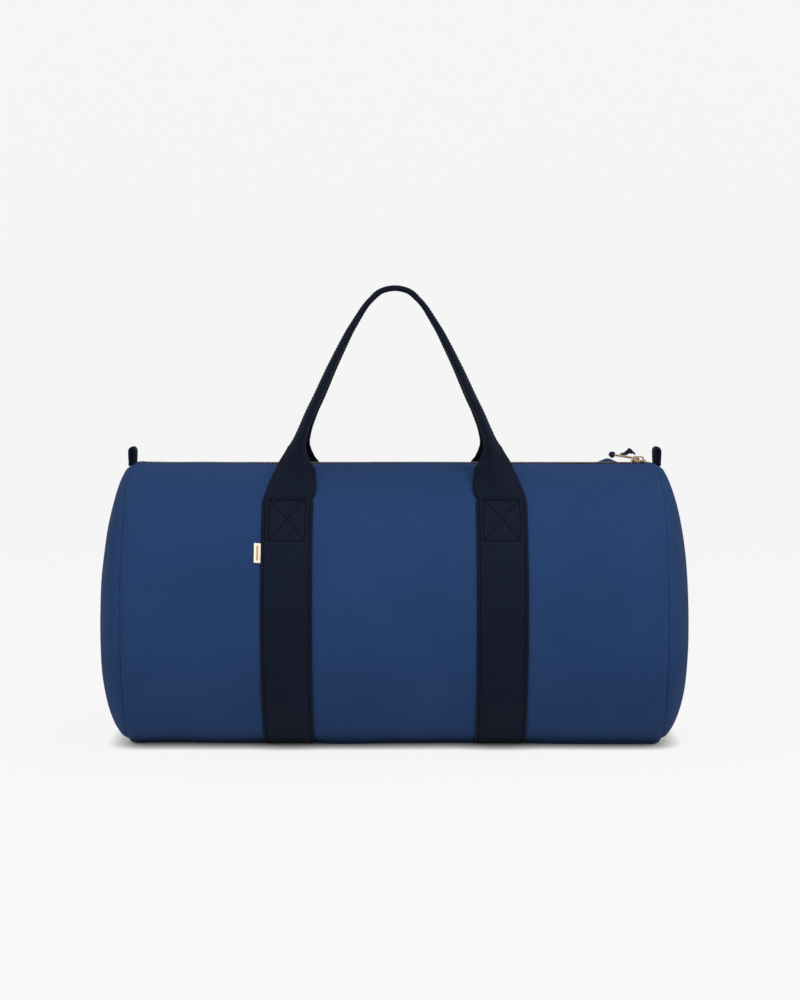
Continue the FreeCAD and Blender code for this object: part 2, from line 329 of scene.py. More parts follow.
def fabric(name, colour, worn, pitch_u, pitch_v, depth, roughness, sheen, mottle=0.25, uv_based=True,
           weave_painted_shade=0.32):
    """Woven cloth: crossing threads, slubs and slow colour variation, with painted shade in the hollows of the
    weave and a painted highlight on its raised threads.
    """
    m, tree, shader = material(name, colour, roughness)
    shader.inputs["Sheen Weight"].default_value = sheen
    shader.inputs["Sheen Roughness"].default_value = 0.45
    shader.inputs["Sheen Tint"].default_value = (*worn, 1)
    shader.inputs["Specular IOR Level"].default_value = 0.07
    if uv_based:
        whole, u, v = uv(tree)
    else:
        place = tree.nodes.new("ShaderNodeTexCoord")
        split = tree.nodes.new("ShaderNodeSeparateXYZ")
        tree.links.new(place.outputs["Object"], split.inputs[0])
        whole, u, v = place.outputs["Object"], split.outputs[0], split.outputs[1]
    weave = wave(tree, v, pitch_v)
    if pitch_u:
        weave = math_node(tree, "MAXIMUM", wave(tree, u, pitch_u), weave)
    slub = node(tree, "ShaderNodeTexNoise", Scale=420.0, Detail=3.0, Roughness=0.6)
    slow = node(tree, "ShaderNodeTexNoise", Scale=9.0, Detail=4.0, Roughness=0.55)
    for n in (slub, slow):
        tree.links.new(whole, n.inputs["Vector"])
    height = math_node(tree, "ADD", weave, math_node(tree, "MULTIPLY", slub.outputs[0], 1.1))
    # Slow mottle is random tone; the weave's height adds painted shade in its hollows and a painted highlight on
    # its raised threads.
    shade = math_node(tree, "ADD", math_node(tree, "MULTIPLY", slow.outputs[0], mottle),
                      math_node(tree, "MULTIPLY", height, weave_painted_shade))
    dark = tuple(c * 0.72 for c in colour)
    tint = ramp(tree, shade, ((0.15, dark), (0.5, colour), (0.85, worn)))
    tree.links.new(tint, shader.inputs["Base Color"])
    bump = node(tree, "ShaderNodeBump", Strength=0.55, Distance=depth)
    tree.links.new(height, bump.inputs["Height"])
    tree.links.new(bump.outputs[0], shader.inputs["Normal"])
    return m


CANVAS_BLUE = (0.0115, 0.0325, 0.0970)
CANVAS = fabric("canvas", CANVAS_BLUE, (0.023, 0.058, 0.152), 1.15 * MM, 1.0 * MM, 0.35 * MM, 0.9, 0.01)
WEBBING = fabric("webbing", (0.0034, 0.0056, 0.0140), (0.0080, 0.0120, 0.0260), None, 2.05 * MM, 0.9 * MM,
                 0.85, 0.01, weave_painted_shade=0.4)
TAPE = fabric("zip_tape", (0.006, 0.009, 0.020), (0.012, 0.017, 0.035), 1.0 * MM, 1.0 * MM, 0.2 * MM, 0.85, 0.05,
              uv_based=False)
THREAD = fabric("thread", (0.0008, 0.0012, 0.003), (0.002, 0.003, 0.007), 0.5 * MM, 0.5 * MM, 0.1 * MM, 0.9, 0.0,
                uv_based=False)
CANVAS_THREAD = fabric("canvas_thread", (0.020, 0.045, 0.115), (0.040, 0.080, 0.180), 0.5 * MM, 0.5 * MM,
                       0.1 * MM, 0.65, 0.1, uv_based=False)
LABEL = fabric("label", (0.74, 0.66, 0.52), (0.85, 0.78, 0.66), 0.6 * MM, 0.5 * MM, 0.12 * MM, 0.8, 0.1)
LABEL_STRIPE = fabric("label_stripe", (0.42, 0.27, 0.14), (0.55, 0.37, 0.21), 0.6 * MM, 0.5 * MM, 0.12 * MM,
                      0.8, 0.1)


def brass(name, dark, middle, bright):
    """Antique brass: tarnish in the hollows, bright worn edges."""
    m, tree, shader = material(name, middle, 0.38, 1.0)
    place = tree.nodes.new("ShaderNodeTexCoord")
    tarnish = node(tree, "ShaderNodeTexNoise", Scale=600.0, Detail=5.0, Roughness=0.65)
    tree.links.new(place.outputs["Object"], tarnish.inputs["Vector"])
    tint = ramp(tree, tarnish.outputs[0], ((0.3, dark), (0.52, middle), (0.75, bright)))
    tree.links.new(tint, shader.inputs["Base Color"])
    rough = math_node(tree, "ADD", math_node(tree, "MULTIPLY", tarnish.outputs[0], 0.35), 0.2)
    tree.links.new(rough, shader.inputs["Roughness"])
    bump = node(tree, "ShaderNodeBump", Strength=0.3, Distance=0.1 * MM)
    tree.links.new(tarnish.outputs[0], bump.inputs["Height"])
    tree.links.new(bump.outputs[0], shader.inputs["Normal"])
    return m


BRASS = brass("brass", (0.13, 0.085, 0.05), (0.34, 0.23, 0.13), (0.58, 0.43, 0.26))
# Darker brass for the zip teeth: painted shade for the shadowed gaps between the two rows of teeth.
TEETH_BRASS_PAINTED_SHADE = brass("brass_teeth_painted_shade", (0.05, 0.032, 0.018), (0.17, 0.11, 0.055), (0.36, 0.25, 0.13))


# ---------------------------------------------------------------- canvas

ROLL = 8 * MM            # how far from a seam the canvas starts to turn in
ROLL_DEPTH = 2.6 * MM
HUMP_X = 0.2175          # middle of the canvas hump behind the knot of the pull
SEAM_STITCH = 6.5 * MM   # topstitching, from the seam


def smooth(t):
    t = max(0.0, min(1.0, t))
    return t * t * (3 - 2 * t)


def barrel_swell(x, s, total):
    """How far the canvas stands out from the plain barrel, at x and s round the section."""
    inward = HALF - abs(x)
    turn = 2 * math.pi * s / total
    around = Vector((math.cos(turn), math.sin(turn), 0))
    beside = abs(abs(x) - BAND_X) - WEB_WIDTH / 2
    free = smooth(beside / (18 * MM))
    swell = 1.4 * MM * noise.noise(around * 2.1 + Vector((0, 0, x * 7))) * free
    swell += 0.5 * MM * noise.noise(around * 6.0 + Vector((3, 0, x * 26))) * free
    pucker = noise.noise(Vector((s * 75, inward * 20, 9 if x > 0 else 4)))
    swell += 0.75 * MM * pucker * math.exp(-inward / 0.013)
    if inward < ROLL:
        swell -= ROLL_DEPTH * (1 - inward / ROLL) ** 2.2 * (1 - grounded(SECTION(s)[0].y))
    if s > total / 2:
        hump = math.exp(-((x - HUMP_X) / 0.0085) ** 2)
        swell += 5.0 * MM * hump * math.exp(-(((total - s) - 0.019) / 0.011) ** 2)
    swell += 0.55 * MM * smooth((inward - 2 * MM) / (3 * MM)) * smooth((12 * MM - inward) / (4 * MM))
    swell -= 0.25 * MM * math.exp(-((inward - SEAM_STITCH) / (1.1 * MM)) ** 2)
    if beside < 0:
        swell -= 0.5 * MM * smooth(-beside / (3 * MM))
    else:
        swell -= 0.3 * MM * math.exp(-beside / (6 * MM))
    edge = min(s, total - s) - SLOT_HALF
    swell -= 1.5 * MM * smooth((22 * MM - edge) / (22 * MM))
    swell += 0.4 * MM * smooth((8 * MM - edge) / (2 * MM))
    swell -= 1.2 * MM * (1 - smooth(edge / (1.5 * MM)))
    swell -= 0.3 * MM * math.exp(-((edge - 4 * MM) / (1.0 * MM)) ** 2)
    top = smooth((0.16 - min(s, total - s)) / 0.16)
    swell -= 2.0 * MM * top * smooth((x - 0.21) / 0.05) * smooth((edge - 11 * MM) / (14 * MM))
    return swell


def grounded(z):
    """How far the roll at a seam is held back: 0.6 on the floor, fading to 0 above it."""
    return 0.6 * smooth((30 * MM - z) / (28 * MM))


def press(z, share, lift=0.0):
    """Flattens canvas that is near the floor down onto it. share is how much of that applies."""
    floor = 0.3 * MM + lift
    low = smooth((5.5 * MM - z) / (3.1 * MM))
    return max(floor, z - (z - floor) * low * share)


def barrel_point(x, s, lift=0.0):
    """A point on the canvas, and the way out of it."""
    at, total = SECTION, ROUND
    p, n = at(s)
    grow = barrel_swell(x, s, total) + lift
    q = Vector((x, p.x + n.x * grow, p.y + n.y * grow))
    clear = abs(abs(x) - BAND_X) - WEB_WIDTH / 2
    q.z = press(q.z, smooth((clear - 0.2 * MM) / (3.2 * MM)), lift)
    return q, Vector((0, n.x, n.y))


SECTION, ROUND = section()


def spread(low, high, step):
    """Evenly spaced values from low to high, about a step apart."""
    count = max(2, int(round((high - low) / step)) + 1)
    return [low + (high - low) * k / (count - 1) for k in range(count)]


def body_canvas():
    """The wrapped panel, from one zip edge round under the bag to the other."""
    xs = spread(-HALF, -HALF + 0.016, 1.0 * MM) + spread(-HALF + 0.018, HALF - 0.018, 2.6 * MM)
    xs += spread(HALF - 0.016, HALF, 1.0 * MM)
    edge = SLOT_HALF
    ss = spread(edge, edge + 0.010, 0.8 * MM) + spread(edge + 0.0125, ROUND - edge - 0.0125, 2.8 * MM)
    ss += spread(ROUND - edge - 0.010, ROUND - edge, 0.8 * MM)
    verts, uvs = [], []
    for x in xs:
        for s in ss:
            verts.append(barrel_point(x, s)[0])
            uvs.append((s, x + 1))
    obj = new_object("body_canvas", verts, grid_faces(len(xs), len(ss)), "shell", CANVAS, uvs)
    wall = obj.modifiers.new("wall", "SOLIDIFY")
    wall.thickness = 1.6 * MM
    wall.offset = 1 if obj.data.polygons[len(obj.data.polygons) // 2].normal.dot(
        obj.data.polygons[len(obj.data.polygons) // 2].center - Vector((0, 0, AXIS))) < 0 else -1
    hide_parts("body_panel")
    return obj


def end_canvas(name, sign, node):
    """One end panel: a disc that swells out, with a gathered edge."""
    middle = DOME_CENTRE
    columns, rings = 300, 64
    verts, uvs, faces = [], [], []
    for r in range(rings):
        level = 1 - (r / rings) ** 1.15
        for c in range(columns):
            s = ROUND * c / columns
            p, n = SECTION(s)
            rim = (1 - level) * RADIUS
            inset = (ROLL_DEPTH + 0.9 * MM - 1.0 * MM * smooth(rim / (4 * MM))) * (1 - 0.85 * grounded(p.y))
            y = (p.x - n.x * inset) * level
            z = middle + (p.y - n.y * inset - middle) * level
            out = DOME * (1 - level ** 2.4) ** 0.7
            ease = smooth(rim / (5 * MM))
            out += 1.6 * MM * ease
            out += 0.8 * MM * noise.noise(Vector((s * 70, rim * 18, sign * 5))) * math.exp(-rim / 0.016) * ease
            out += 1.6 * MM * noise.noise(Vector((y * 11, z * 9, sign * 3))) * smooth(rim / 0.03)
            out += 0.5 * MM * noise.noise(Vector((y * 36, z * 30, sign * 8))) * smooth(rim / 0.03)
            out -= 1.6 * MM * smooth((0.02 - rim) / 0.02) * 0.3
            z = press(z, 1.0)
            verts.append(Vector((sign * (HALF + max(out, 0.1 * MM)), y, z)))
            uvs.append((y + 3, z + 3))
    faces = grid_faces(rings, columns, close_columns=True)
    centre = len(verts)
    last = verts[-columns:]
    verts.append(Vector((sum(v.x for v in last) / columns + sign * 0.05 * MM, 0, middle)))
    uvs.append((3, middle + 3))
    base = (rings - 1) * columns
    faces.extend((base + c, base + (c + 1) % columns, centre) for c in range(columns))
    if sign < 0:
        faces = [f[::-1] for f in faces]
    obj = new_object(name, verts, faces, "shell", CANVAS, uvs)
    wall = obj.modifiers.new("wall", "SOLIDIFY")
    wall.thickness = 1.6 * MM
    normal = obj.data.polygons[len(obj.data.polygons) // 2].normal
    wall.offset = -1 if normal.x * sign > 0 else 1
    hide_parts(node)
    return obj


body_canvas()
end_canvas("end_canvas_right", 1, "end_panel_right")
end_canvas("end_canvas_left", -1, "end_panel_left")


def seam_binding(name, sign, node):
    """The bound allowance inside an end seam: a bias tape folded over the raw edges."""
    verts, uvs = [], []
    outline = ((0.2, -4.6), (0.4, -11.5), (1.6, -12.6), (3.0, -11.5), (3.4, -5.0), (1.8, -4.2))
    ss = spread(0, ROUND, 4 * MM)[:-1]
    for s in ss:
        p, n = SECTION(s)
        for inward, grow in outline:
            grow += 0.3 * noise.noise(Vector((s * 60, inward, sign)))
            x = sign * (HALF - (inward + 0.4) * MM)
            verts.append(Vector((x, p.x + n.x * grow * MM, p.y + n.y * grow * MM)))
            uvs.append((s, grow * MM + inward * MM))
    faces = grid_faces(len(ss), len(outline), close_rows=True, close_columns=True)
    if sign > 0:
        faces = [f[::-1] for f in faces]
    obj = new_object(name, verts, faces, "shell", TAPE, uvs)
    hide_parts(node)


seam_binding("seam_tape_right", 1, "seam_binding_right")
seam_binding("seam_tape_left", -1, "seam_binding_left")


def seam_topstitch():
    """Topstitching beside both end seams, and along both sides of the zip."""
    runs = []
    for sign in (-1, 1):
        x = sign * (HALF - SEAM_STITCH)
        runs.append([barrel_point(x, s) for s in spread(SLOT_HALF + 6 * MM, ROUND - SLOT_HALF - 6 * MM, 3 * MM)])
    for s in (SLOT_HALF + 4 * MM, ROUND - SLOT_HALF - 4 * MM):
        runs.append([barrel_point(x, s) for x in spread(-HALF + 0.012, HALF - 0.012, 4 * MM)])
    obj = stitches("canvas_topstitch", runs, "shell", CANVAS_THREAD, radius=0.3 * MM)


seam_topstitch()


# ---------------------------------------------------------------- webbing

BAND_SECTION, BAND_ROUND = section(WEB / 2)
LIFT_S = (math.pi / 2 - LIFT_ANGLE) * (RADIUS + WEB / 2)
JOIN_S = LIFT_S + 1.2 * MM
EDGE_STITCH = 3.2 * MM   # from the webbing's edge
FOLD_STITCH = 0.0205     # from a handle's middle fold
BOX_HALF = 0.0178        # half the sewn box across the webbing
BOX_LENGTH = 0.0515      # its far side, from the lift line


def band_frame(x, s):
    """A frame for sweep() on a band's middle line, s round its section."""
    p, n = BAND_SECTION(s)
    point = Vector((x, p.x, p.y))
    if point.z < WEB / 2 + 0.1 * MM:
        point.z = WEB / 2 + 0.1 * MM
    return point, Vector((1, 0, 0)), -Vector((0, n.x, n.y)), s


def band(name, x, node):
    """The webbing under and round the barrel, from lift line to lift line, with its stitching."""
    frames = [band_frame(x, s) for s in spread(JOIN_S, BAND_ROUND - JOIN_S, 1.6 * MM)]
    loop = strap_section(WEB_WIDTH, WEB)
    obj = sweep(name, frames, [loop] * len(frames), "shell", WEBBING)
    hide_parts(node)
    surface = WEB / 2 * 0.98
    runs = []
    for side_x in (-1, 1):
        across = side_x * (WEB_WIDTH / 2 - EDGE_STITCH)
        run = []
        for s in spread(JOIN_S + 1 * MM, BAND_ROUND - JOIN_S - 1 * MM, 3 * MM):
            point, a, inward, _ = band_frame(x, s)
            run.append((point + a * across - inward * surface, -inward))
        runs.append(run)
    for mirrored in (False, True):
        runs.extend(box_stitch(x, mirrored, surface))
    thread = stitches(name + "_stitching", runs, "shell", THREAD, radius=0.48 * MM)


def box_stitch(x, mirrored, surface):
    """A sewn rectangle with a cross in it, just below the lift line."""
    half = BOX_HALF
    s0, s1 = LIFT_S + 2.6 * MM, LIFT_S + BOX_LENGTH

    def run(x0, sa, x1, sb):
        samples = []
        for t in spread(0, 1, 0.06):
            s = sa + (sb - sa) * t
            s = BAND_ROUND - s if mirrored else s
            point, a, inward, _ = band_frame(x, s)
            samples.append((point + a * (x0 + (x1 - x0) * t) - inward * surface, -inward))
        return samples

    corners = ((-half, s0), (half, s0), (half, s1), (-half, s1))
    runs = [run(*a, *b) for a, b in zip(corners, corners[1:] + corners[:1])]
    runs.append(run(-half, s0, half, s1))
    runs.append(run(half, s0, -half, s1))
    runs.append(run(-half, s0 + 1.6 * MM, half, s0 + 1.6 * MM))
    return runs


band("band_left_webbing", -BAND_X, "band_left")
band("band_right_webbing", BAND_X, "band_right")

# Up one leg: share of the rise, share of the band's place, width as seen from the front
LEG = (
    (0.030, 0.981, 0.0497),
    (0.055, 0.966, 0.0488),
    (0.080, 0.955, 0.0475),
    (0.105, 0.946, 0.0453),
    (0.132, 0.936, 0.0424),
    (0.160, 0.932, 0.0400),
    (0.178, 0.931, 0.0370),
    (0.196, 0.927, 0.0330),
    (0.215, 0.921, 0.0288),
    (0.234, 0.914, 0.0248),
    (0.252, 0.905, 0.0215),
    (0.271, 0.893, 0.0184),
    (0.290, 0.880, 0.0158),
    (0.342, 0.842, 0.0131),
    (0.411, 0.784, 0.0122),
    (0.480, 0.719, 0.0117),
    (0.620, 0.593, 0.0105),
    (0.762, 0.452, 0.0090),
    (0.832, 0.371, 0.0081),
    (0.903, 0.279, 0.0074),
    (0.941, 0.210, 0.0073),
    (0.9705, 0.140, 0.0113),
    (0.983, 0.0695, 0.0190),
)


def fold_angle(width):
    """How far each half of the webbing stands out from the middle, for a width across both."""
    radius = FOLD * WEB

    def across(angle):
        return 2 * (radius * math.cos(angle) + WEB / 2 * math.cos(angle)
                    + (WEB_WIDTH / 2 - radius * (math.pi / 2 - angle)) * math.sin(angle))

    low, high = 0.0, math.pi / 2
    for _ in range(40):
        mid = (low + high) / 2
        if across(mid) < width:
            low = mid
        else:
            high = mid
    return low


def catmull(points, k, t):
    """A point on the smooth curve through points, t of the way from the k-th to the next."""
    p0, p1, p2, p3 = (points[max(0, min(len(points) - 1, k + d))] for d in (-1, 0, 1, 2))
    return 0.5 * ((2 * p1) + (p2 - p0) * t + (2 * p0 - 5 * p1 + 4 * p2 - p3) * t * t
                  + (3 * p1 - p0 - 3 * p2 + p3) * t ** 3)


def handle_path():
    """Frames and fold widths of the front handle, from its left foot to its right one."""
    rise = HANDLE_TOP - LIFT_Z
    crown_y = -(WEB_WIDTH / 2 + 0.3 * MM)
    low = []
    for s in (JOIN_S, LIFT_S - 0.5 * MM):
        p, n = BAND_SECTION(s)
        low.append((Vector((-BAND_X, p.x, p.y)), WEB_WIDTH))
    for height, share, width in LEG:
        z = LIFT_Z + rise * height
        y = -LIFT_Y + (crown_y + LIFT_Y) * height
        low.append((Vector((-BAND_X * share, y, z)), width))
    crown = (Vector((0, crown_y, HANDLE_TOP - FOLD * WEB - WEB / 2)), 0.0054)
    stations = low + [crown] + [(Vector((-p.x, p.y, p.z)), w) for p, w in reversed(low)]
    points = [p for p, w in stations]
    widths = [Vector((w, 0, 0)) for p, w in stations]
    line, across = [], []
    for k in range(len(points) - 1):
        steps = max(2, int((points[k + 1] - points[k]).length / (1.7 * MM)))
        for i in range(steps):
            line.append(catmull(points, k, i / steps))
            across.append(catmull(widths, k, i / steps).x)
    line.append(points[-1])
    across.append(WEB_WIDTH)
    frames, folds = [], []
    along = 0.0
    for k, point in enumerate(line):
        before, after = line[max(0, k - 2)], line[min(len(line) - 1, k + 2)]
        tangent = (after - before).normalized()
        lean = smooth((point.z - LIFT_Z - 4 * MM) / (34 * MM))
        side_way = Vector((0, 1, 0)).cross(tangent).normalized()
        side_way = Vector((math.copysign(1, side_way.x), 0, 0)).lerp(side_way, lean).normalized()
        deep = tangent.cross(side_way).normalized()
        if k:
            along += (point - line[k - 1]).length
        flat = math.hypot(tangent.x, tangent.z)
        frames.append((point, side_way, deep, along))
        folds.append(fold_angle(min(WEB_WIDTH, across[k] * abs(tangent.z) / flat if across[k] < 0.02
                                    else across[k])))
    return frames, folds


def mirror_y(obj):
    """Reflects a finished mesh to the other side of the bag."""
    for v in obj.data.vertices:
        v.co.y = -v.co.y
    obj.data.flip_normals()


def handle(node, body, back):
    """A handle of folded webbing that rises from its lift lines, with its stitching."""
    frames, folds = handle_path()
    sections = [strap_section(WEB_WIDTH, WEB, fold) for fold in folds]
    obj = sweep(node + "_webbing", frames, sections, None, WEBBING)
    runs = [[], []]
    for (point, across, deep, along), fold in zip(frames, folds):
        if fold < 0.3:
            out = FOLD * WEB + WEB / 2 - 0.25 * MM + math.sin(fold) * FOLD_STITCH
            for run, sign in zip(runs, (-1, 1)):
                run.append((point + across * sign * out + deep * FOLD_STITCH, across * sign))
    thread = stitches(node + "_stitching", runs, None, THREAD)
    for piece in (obj, thread):
        if back:
            mirror_y(piece)
    sign = 1 if back else -1
    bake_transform(obj)
    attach(thread, body)
    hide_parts(node)


handle("handle_front", "handle_front", False)
handle("handle_back", "handle_back", True)


def strap_along(name, path, width, thick, body, material, across=Vector((0, 1, 0)), columns=14):
    """Flat webbing whose width runs along across, through points in the XZ plane."""
    frames, along = [], 0.0
    for k, point in enumerate(path):
        tangent = (path[min(len(path) - 1, k + 1)] - path[max(0, k - 1)]).normalized()
        if k:
            along += (point - path[k - 1]).length
        frames.append((point, across, tangent.cross(across).normalized(), along))
    loop = strap_section(width, thick, columns=columns)
    return sweep(name, frames, [loop] * len(frames), body, material), along


def smooth_path(points, step):
    line = []
    for k in range(len(points) - 1):
        steps = max(2, int((points[k + 1] - points[k]).length / step))
        line.extend(catmull(points, k, i / steps) for i in range(steps))
    return line + [points[-1]]


def end_loop(name, sign, node):
    """A folded webbing tab, standing in the top of an end seam."""
    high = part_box(node)[HIGH][Z]
    thick = 3.5 * MM
    half = (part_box(node)[HIGH][X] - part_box(node)[LOW][X]) / 2 - thick / 2
    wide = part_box(node)[HIGH][Y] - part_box(node)[LOW][Y]
    centre = sign * HALF
    foot = TOP - 4.5 * MM
    outline = (
        (-0.84, foot), (-0.84, TOP), (-0.95, TOP + 4 * MM), (-1.0, high - 4.8 * MM),
        (-0.74, high - 2.6 * MM), (0.0, high - thick / 2), (0.74, high - 2.6 * MM),
        (1.0, high - 4.8 * MM), (0.95, TOP + 4 * MM), (0.84, TOP), (0.84, foot),
    )
    points = [Vector((centre + half * a, 0, z)) for a, z in outline]
    obj, length = strap_along(name, smooth_path(points, 0.8 * MM), wide, thick, "shell", WEBBING)
    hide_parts(node)


end_loop("end_loop_right_webbing", 1, "end_loop_right")
end_loop("end_loop_left_webbing", -1, "end_loop_left")


def side_label():
    """A small folded label, caught under the left band's outer edge."""
    low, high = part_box("side_label")
    for name, x0, x1, material, lift in (
        ("side_label_cloth", low[X], high[X] + 2.5 * MM, LABEL, 0.0),
        ("side_label_stripe", low[X] + 2.4 * MM, low[X] + 4.2 * MM, LABEL_STRIPE, 0.35 * MM),
    ):
        top_s = (math.pi / 2 - math.asin((high[Z] - AXIS) / RADIUS)) * RADIUS
        inset = 0 if lift == 0 else 2.6 * MM
        ss = spread(top_s + inset, top_s + (high[Z] - low[Z]) * 1.07 - inset, 0.8 * MM)
        xs = spread(x0, x1, 0.5 * MM)
        loops = []
        for skin in (1, 0):
            for s in ss:
                row = []
                for x in xs:
                    free = max(0.0, high[X] - x) / (high[X] - low[X])
                    point, n = barrel_point(x, s)
                    row.append(point + n * (0.15 * MM + skin * 0.75 * MM + lift + 0.9 * MM * free ** 2))
                loops.append(row)
        verts = [v for row in loops for v in row]
        uvs = [(v.x, v.z) for v in verts]
        rows, columns = len(ss), len(xs)
        faces = grid_faces(rows, columns)
        faces += [f[::-1] for f in grid_faces(rows, columns, start=rows * columns)]
        base = rows * columns
        rim = [j for j in range(columns)] + [i * columns + columns - 1 for i in range(1, rows)]
        rim += [(rows - 1) * columns + j for j in range(columns - 2, -1, -1)]
        rim += [i * columns for i in range(rows - 2, 0, -1)]
        faces += [(b, a, a + base, b + base) for a, b in zip(rim, rim[1:] + rim[:1])]
        obj = new_object(name, verts, faces, "shell", material, uvs)
        if lift == 0:
            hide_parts("side_label")


side_label()


# ---------------------------------------------------------------- zip and hardware

for name in ("zip_tape_front", "zip_tape_back"):
    cad = frame["nodes"][name]
    for socket in cad.material_slots:
        socket.material = TAPE
for name in ("zip_stops_top", "zip_stop_bottom"):
    cad = frame["nodes"][name]
    for socket in cad.material_slots:
        socket.material = BRASS

TOOTH_PITCH = 3 * MM
TEETH_LOW, TEETH_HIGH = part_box("zip_teeth_front")
CHAIN_Z = (TEETH_LOW[Z] + TEETH_HIGH[Z]) / 2


def zip_teeth(name, node, sign):
    """Cast teeth that mesh with the row opposite: a clamp on the tape, a neck and a head."""
    low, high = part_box(node)
    profile = (
        (4.35, 0.50, 1.25), (4.05, 0.66, 1.65), (2.9, 0.68, 1.75), (1.3, 0.60, 1.70),
        (0.5, 0.70, 1.55), (-0.35, 0.62, 1.35), (-0.75, 0.35, 0.9),
    )
    corners = ((-1, -0.7), (-0.7, -1), (0.7, -1), (1, -0.7), (1, 0.7), (0.7, 1), (-0.7, 1), (-1, 0.7))
    verts, faces = [], []
    x = low[X] + 0.65 * MM
    while x < high[X]:
        base = len(verts)
        for y, wide, tall in profile:
            for cx, cz in corners:
                verts.append(Vector((x + cx * wide * MM, sign * y * MM, CHAIN_Z + cz * tall * MM)))
        faces.extend(grid_faces(len(profile), 8, close_columns=True, start=base))
        end = base + (len(profile) - 1) * 8
        faces.append(tuple(base + k for k in reversed(range(8))))
        faces.append(tuple(end + k for k in range(8)))
        x += TOOTH_PITCH
    if sign > 0:
        faces = [f[::-1] for f in faces]
    # The teeth take the darker brass, a painted shade.
    obj = new_object(name, verts, faces, "shell", TEETH_BRASS_PAINTED_SHADE, smooth=False)
    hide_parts(node)


zip_teeth("zip_teeth_front_row", "zip_teeth_front", -1)
zip_teeth("zip_teeth_back_row", "zip_teeth_back", 1)


def zip_cord(name, sign):
    """The corded edge of a tape, which the teeth are clamped to."""
    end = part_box("zip_stop_bottom")[HIGH][X]
    verts = []
    xs = spread(end, -end, 6 * MM)
    for x in xs:
        for k in range(12):
            a = 2 * math.pi * k / 12
            verts.append(Vector((x, sign * (2.9 + 0.95 * math.cos(a)) * MM, CHAIN_Z + 1.35 * MM * math.sin(a))))
    obj = new_object(name, verts, grid_faces(len(xs), 12, close_columns=True), "shell", TAPE)


zip_cord("zip_cord_front", -1)
zip_cord("zip_cord_back", 1)


def arc(cx, cy, radius, a0, a1, count=10):
    """Points on an arc, angles in degrees."""
    points = []
    for k in range(count + 1):
        a = math.radians(a0 + (a1 - a0) * k / count)
        points.append((cx + radius * math.cos(a), cy + radius * math.sin(a)))
    return points


def plate(name, outlines, thick, bevel, matrix, body, material):
    """A flat shape with holes, in the XY plane, made thick and bevelled, then placed by a matrix."""
    curve = bpy.data.curves.new(name + "_outline", "CURVE")
    curve.dimensions = "2D"
    curve.fill_mode = "BOTH"
    curve.extrude = thick / 2 - bevel
    curve.bevel_depth = bevel
    curve.bevel_resolution = 3
    curve.offset = -bevel
    for outline in outlines:
        spline = curve.splines.new("POLY")
        spline.points.add(len(outline) - 1)
        for point, (x, y) in zip(spline.points, outline):
            point.co = (x, y, 0, 1)
        spline.use_cyclic_u = True
    shape = bpy.data.objects.new(name + "_outline", curve)
    bpy.context.collection.objects.link(shape)
    bpy.context.view_layer.update()
    mesh = bpy.data.meshes.new_from_object(shape.evaluated_get(bpy.context.evaluated_depsgraph_get()))
    bpy.data.objects.remove(shape)
    bpy.data.curves.remove(curve)
    mesh.transform(matrix)
    mesh.name = name
    mesh.materials.clear()
    mesh.materials.append(material)
    obj = bpy.data.objects.new(name, mesh)
    bpy.context.collection.objects.link(obj)
    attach(obj, body)
    return obj


def slider():
    """The slider: two shield-shaped plates, side lips and a bridge for the pull."""
    low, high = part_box("slider_body")
    centre_x = (low[X] + high[X]) / 2
    half_x, half_y = (high[X] - low[X]) / 2, (high[Y] - low[Y]) / 2
    outline = (
        arc(-half_x + 2 * MM, -half_y + 2.8 * MM, 2 * MM, 180, 270, 6)
        + [(0.0, -half_y + 0.5 * MM)]
        + arc(half_x - 3 * MM, -half_y + 3 * MM, 3 * MM, 270, 340, 6)
        + [(half_x - 1.6 * MM, 0.0)]
        + arc(half_x - 3 * MM, half_y - 3 * MM, 3 * MM, 20, 90, 6)
        + [(0.0, half_y - 0.5 * MM)]
        + arc(-half_x + 2 * MM, half_y - 2.8 * MM, 2 * MM, 90, 180, 6)
    )
    for name, z in (("slider_top_plate", high[Z] - 0.8 * MM), ("slider_bottom_plate", low[Z] + 0.8 * MM)):
        place = Matrix.Translation((centre_x, 0, z))
        plate(name, [outline], 1.6 * MM, 0.5 * MM, place, "slider", BRASS)
    lip = high[Z] - CHAIN_Z
    for sign in (-1, 1):
        bar = [(-half_x + 1.6 * MM, -0.6 * MM), (half_x - 2.2 * MM, -0.6 * MM), (half_x - 2.2 * MM, 0.6 * MM),
               (-half_x + 1.6 * MM, 0.6 * MM)]
        place = Matrix.Translation((centre_x, sign * (half_y - 0.8 * MM), high[Z] - lip / 2 + 0.4 * MM))
        name = "slider_lip_front" if sign < 0 else "slider_lip_back"
        plate(name, [bar], lip - 0.9 * MM, 0.3 * MM, place, "slider", BRASS)
    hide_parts("slider_body")
    low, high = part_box("slider_bail")
    half = (high[X] - low[X]) / 2
    rise = high[Z] - low[Z]
    outer = [(-half, -0.4 * MM)] + arc(-half + 2.4 * MM, rise - 2.4 * MM, 2.4 * MM, 180, 90, 8) \
        + arc(half - 2.4 * MM, rise - 2.4 * MM, 2.4 * MM, 90, 0, 8) + [(half, -0.4 * MM)]
    inner = [(half - 1.4 * MM, -0.4 * MM)] + arc(half - 2.6 * MM, rise - 2.6 * MM, 1.2 * MM, 0, 90, 6) \
        + arc(-half + 2.6 * MM, rise - 2.6 * MM, 1.2 * MM, 90, 180, 6) + [(-half + 1.4 * MM, -0.4 * MM)]
    place = Matrix.Translation((centre_x, 0, low[Z])) @ Matrix.Rotation(math.pi / 2, 4, "X")
    bail = plate("slider_bridge", [outer + inner], high[Y] - low[Y], 0.4 * MM, place, "slider", BRASS)
    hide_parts("slider_bail")


slider()

